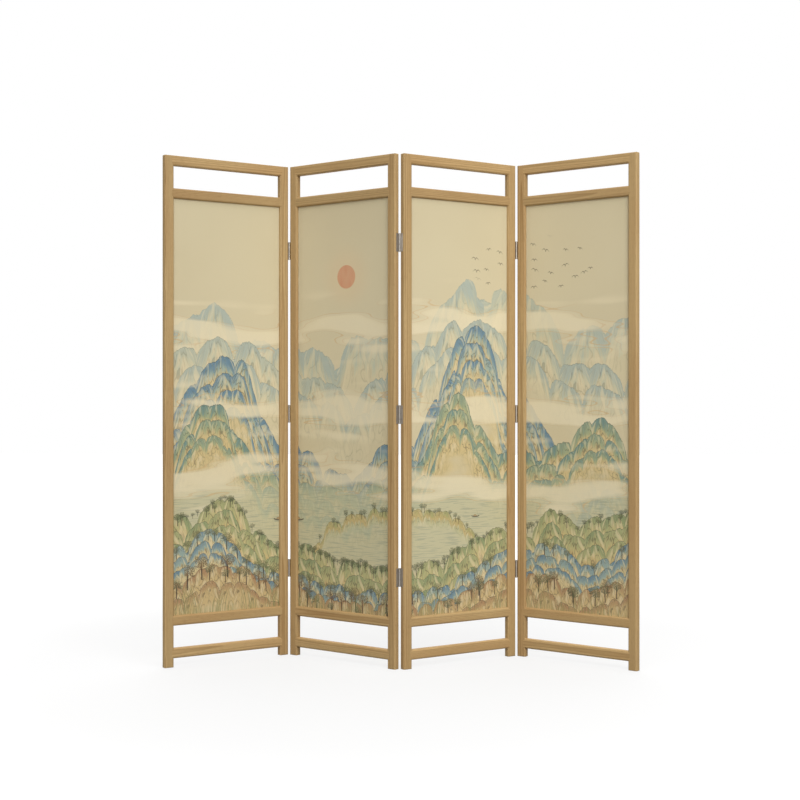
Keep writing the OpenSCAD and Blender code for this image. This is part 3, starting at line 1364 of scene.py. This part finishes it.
@dataclass
class PrintedCloth:
    """The canvas of one panel, drawn round its board.

    The rounding is a share of its depth. Edges from an angle in degrees on are shaded sharp.
    """

    stand: Stand
    thickness: float = 0.8 * MM
    rounding: float = 0.49
    bends: int = 4
    columns: int = 12
    rows: int = 36
    sharp_from: float = 40.0
    uv_map: str = "print"

    def build(self) -> bpy.types.Object:
        """Models the cloth and lays the picture out on it.

        Returns:
            The cloth.
        """
        number = self.stand.number
        low, high = self.stand.box("picture_cloth")
        shape = bmesh.new()
        bmesh.ops.create_cube(shape, size=1.0)
        bmesh.ops.scale(shape, vec=high - low, verts=shape.verts)
        bmesh.ops.translate(shape, vec=(low + high) / 2, verts=shape.verts)
        ends = [face for face in shape.faces if abs(face.normal.z) > 0.5]
        bmesh.ops.delete(shape, geom=ends, context="FACES_ONLY")
        self._round_the_edges(shape, (high - low).y)
        self._subdivide(shape)
        bmesh.ops.recalc_face_normals(shape, faces=shape.faces)
        bmesh.ops.solidify(shape, geom=shape.faces[:], thickness=self.thickness)
        self._lay_out(shape)
        bmesh.ops.transform(shape, matrix=self.stand.world(), verts=shape.verts)
        bmesh.ops.recalc_face_normals(shape, faces=shape.faces)
        cloth = settle(shape, f"printed_canvas_{number}")
        cloth.data.shade_smooth()
        cloth.data.set_sharp_from_angle(angle=math.radians(self.sharp_from))
        self._declare(cloth)
        return cloth

    def _round_the_edges(self, shape: bmesh.types.BMesh, depth: float) -> None:
        """Turns the box's upright corners into the bends round the board's edges.

        Args:
            shape: The cloth.
            depth: The cloth's whole depth from face to face.
        """
        upright = [edge for edge in shape.edges if abs(edge.verts[0].co.z - edge.verts[1].co.z) > depth]
        bmesh.ops.bevel(
            shape,
            geom=upright,
            offset=depth * self.rounding,
            affect="EDGES",
            segments=self.bends,
            profile=0.5,
            material=-1,
        )

    def _subdivide(self, shape: bmesh.types.BMesh) -> None:
        """Divides the flat faces across and up.

        Args:
            shape: The cloth.
        """
        longest = max(edge.calc_length() for edge in shape.edges)
        upright = [edge for edge in shape.edges if edge.calc_length() > longest * 0.99]
        bmesh.ops.subdivide_edges(shape, edges=upright, cuts=self.rows - 1, use_grid_fill=True)
        span = max(abs(edge.verts[0].co.x - edge.verts[1].co.x) for edge in shape.edges)
        level = [edge for edge in shape.edges if abs(edge.verts[0].co.x - edge.verts[1].co.x) > span * 0.9]
        bmesh.ops.subdivide_edges(shape, edges=level, cuts=self.columns - 1, use_grid_fill=True)

    def _lay_out(self, shape: bmesh.types.BMesh) -> None:
        """Maps the picture onto both faces, so that it runs on from panel to panel.

        Args:
            shape: The cloth.
        """
        number = self.stand.number
        low, high = self.stand.opening()
        width = high.x - low.x
        middle = sum(vertex.co.y for vertex in shape.verts) / len(shape.verts)
        layer = shape.loops.layers.uv.new(self.uv_map)
        for face in shape.faces:
            behind = face.calc_center_median().y > middle
            before = PANELS - number if behind else number - 1
            for loop in face.loops:
                place = loop.vert.co
                across = high.x - place.x if behind else place.x - low.x
                loop[layer].uv = (before * width + across, place.z - low.z)

    def _declare(self, cloth: bpy.types.Object) -> None:
        """Hangs the cloth on its panel's body and hides the imported part that it stands in for.

        Args:
            cloth: The cloth.
        """
        number = self.stand.number
        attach(cloth, f"panel_{number}")
        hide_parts(f"picture_cloth_{number}")


@dataclass
class Panel:
    """One framed picture of the screen."""

    number: int
    canvas: bpy.types.Material
    timber: Timber = Timber()
    steel: Steel = Steel()
    hardboard: Hardboard = Hardboard()

    def __post_init__(self) -> None:
        """Finds where the panel stands."""
        self.stand = Stand(self.number)

    def place(self, node: str, grain: Grain) -> Placing:
        """Gives the place in a node as its material reads it.

        Args:
            node: The node's name.
            grain: Which way the node lies.

        Returns:
            A function that adds the reading nodes to a plan.
        """
        low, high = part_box(node)
        centre = (low + high) / 2
        return lambda plan: member_place(plan, centre, self.stand.turn, grain)

    def build(self) -> None:
        """Dresses the frame, the board and the hinges, and hangs the cloth."""
        panel_step, member_step, steel_step = 7.31, 2.17, 3.9
        for order, member in enumerate(Member):
            name, grain, paleness = member.value
            node = f"{name}_{self.number}"
            seed = self.number * panel_step + order * member_step
            # Painted light: the top and bottom rails are painted lighter and the upper rails darker than the
            # wood's own colour
            timber = self.timber.picked(paleness)
            dress(node, timber.material(f"wood_{node}", self.place(node, grain), seed))
        board = f"picture_board_{self.number}"
        place = self.place(board, Grain.UPRIGHT)
        dress(board, self.hardboard.material(f"fibre_{board}", place))
        body = f"panel_{self.number}"
        steel = self.steel.material(f"steel_{body}", place, seed=self.number * steel_step)
        for node in frame["record"]["behaviour"]["bodies"][body]:
            if node.startswith("hinge_"):
                dress(node, steel)
        cloth = PrintedCloth(self.stand).build()
        cloth.data.materials.append(self.canvas)
        LOG.info("panel %d: %d members, a board, a cloth and its fittings", self.number, len(Member))


def dress(node: str, material: bpy.types.Material) -> None:
    """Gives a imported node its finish."""
    for slot in frame["nodes"][node].material_slots:
        slot.material = material


def settle(shape: bmesh.types.BMesh, name: str) -> bpy.types.Object:
    """Turns a finished shape into an object of the scene.

    Args:
        shape: The shape, which is freed.
        name: The name of the object and its mesh.

    Returns:
        The object.
    """
    mesh = bpy.data.meshes.new(name)
    shape.to_mesh(mesh)
    shape.free()
    return stand_in_scene(name, mesh)


def stand_in_scene(name: str, data: bpy.types.ID) -> bpy.types.Object:
    """Makes an object and links it to the scene.

    Args:
        name: The object's name.
        data: Its mesh, lamp or camera.

    Returns:
        The object.
    """
    thing = bpy.data.objects.new(name, data)
    bpy.context.scene.collection.objects.link(thing)
    return thing


# The studio


@dataclass
class Studio:
    """A pale room lit from all round and by one soft lamp, with the camera in front of the screen."""

    camera_at: tuple[float, float, float] = (0.185, -5.284, 0.940)
    camera_turn: float = 2.0475
    focal_length: float = 66.3
    sensor: float = 36.0
    lamp_at: tuple[float, float, float] = (2.4, -3.4, 3.0)
    lamp_aim: tuple[float, float, float] = (0.0, 0.0, 0.9)
    lamp_width: float = 2.2
    lamp_power: float = 82.0
    room_light: float = 0.03
    panel_light: float = 2.75
    panel_light_height: float = 32.0
    panel_light_focus: int = 8
    sky_light: float = 1.6
    sky_light_focus: int = 3
    floor_tone: float = 0.2
    floor_glow: float = 0.725
    floor_size: float = 40.0
    floor_fades: tuple[float, float] = (1.2, 3.5)

    def build(self) -> None:
        """Sets up the camera, the lamp, the room's light and the floor."""
        self._camera()
        self._lamp()
        self._room()
        self._floor()
        bpy.context.scene.view_settings.view_transform = "Standard"
        LOG.info("studio: camera %.1f mm, lamp %.0f W", self.focal_length, self.lamp_power)

    def _camera(self) -> None:
        """Places the camera where the picture was taken from."""
        data = bpy.data.cameras.new("camera")
        data.sensor_width = self.sensor
        data.lens = self.focal_length
        camera = stand_in_scene("camera", data)
        camera.location = self.camera_at
        camera.rotation_euler = Euler((math.pi / 2, 0.0, math.radians(self.camera_turn)))
        bpy.context.scene.camera = camera

    def _lamp(self) -> None:
        """Hangs the soft lamp high in front, to the right."""
        data = bpy.data.lights.new("soft_lamp", "AREA")
        data.shape = "SQUARE"
        data.size = self.lamp_width
        data.energy = self.lamp_power
        lamp = stand_in_scene("soft_lamp", data)
        lamp.location = self.lamp_at
        towards = Vector(self.lamp_aim) - Vector(self.lamp_at)
        lamp.rotation_euler = towards.to_track_quat("-Z", "Y").to_euler()

    def _seen_directly(self, plan: Plan) -> Wire:
        """Tells what the camera sees, also in a gloss or through glass, from what only gives light.

        Args:
            plan: The plan of the world or of a material.

        Returns:
            1 for what the camera sees, otherwise 0.
        """
        path = plan.add("ShaderNodeLightPath").outputs
        camera, glossy, through = (
            Wire(plan, path[name]) for name in ("Is Camera Ray", "Is Glossy Ray", "Is Transmission Ray")
        )
        return camera.most(glossy).most(through)

    def _room(self) -> None:
        """Lights the room softly from high in front and behind and from above, before a white backdrop."""
        world = bpy.data.worlds.new("room")
        plan = Plan.fresh(world)
        _, deep, up = plan.parts(plan.wire("ShaderNodeTexCoord", None, "Generated"))
        height = math.radians(self.panel_light_height)
        facing = (abs(deep) * math.cos(height) + up * math.sin(height)).most(0.0)
        panels = facing**self.panel_light_focus * self.panel_light
        soft = self.room_light + panels + up.most(0.0) ** self.sky_light_focus * self.sky_light
        strength = soft + self._seen_directly(plan) * (1 - soft)
        light = plan.wire("ShaderNodeBackground", {"Color": WHITE, "Strength": strength})
        plan.add("ShaderNodeOutputWorld", {0: light})
        bpy.context.scene.world = world

    def _floor(self) -> None:
        """Lays the pale floor, which keeps a soft shadow under the screen and meets the backdrop in white."""
        shape = bmesh.new()
        bmesh.ops.create_grid(shape, x_segments=1, y_segments=1, size=self.floor_size / 2)
        floor = settle(shape, "floor")
        material = bpy.data.materials.new("floor")
        plan = Plan.fresh(material)
        across, deep, _ = plan.parts(plan.wire("ShaderNodeTexCoord", None, "Object"))
        far = ((across * across + deep * deep) ** 0.5).rise(*self.floor_fades)
        matt = plan.wire("ShaderNodeBsdfDiffuse", {"Color": (self.floor_tone,) * 3})
        shine = self._seen_directly(plan) * (self.floor_glow + far * (1 - self.floor_glow))
        glow = plan.wire("ShaderNodeEmission", {"Color": WHITE, "Strength": shine})
        both = plan.wire("ShaderNodeAddShader", {0: matt, 1: glow})
        plan.add("ShaderNodeOutputMaterial", {0: both})
        floor.data.materials.append(material)


@dataclass
class FoldingScreen:
    """The whole screen: four panels that share one printed picture."""

    canvas: Canvas = Canvas()

    def build(self) -> None:
        """Prints the canvas and builds each panel."""
        low, high = Stand(1).opening()
        picture = Landscape((high.x - low.x) * PANELS, high.z - low.z)
        canvas = replace(self.canvas, picture=Effect(picture.printed_landscape))
        printed = canvas.material(
            "printed_canvas", lambda plan: plan.wire("ShaderNodeUVMap", uv_map=PrintedCloth.uv_map)
        )
        LOG.info("picture: %.3f m by %.3f m over %d panels", picture.width, picture.height, PANELS)
        for number in range(1, PANELS + 1):
            Panel(number, printed).build()


def main() -> None:
    """Builds the studio and the screen."""
    logging.basicConfig(level=logging.INFO, format="%(name)s: %(message)s")
    Studio().build()
    FoldingScreen().build()


if __name__ == "__main__":
    main()
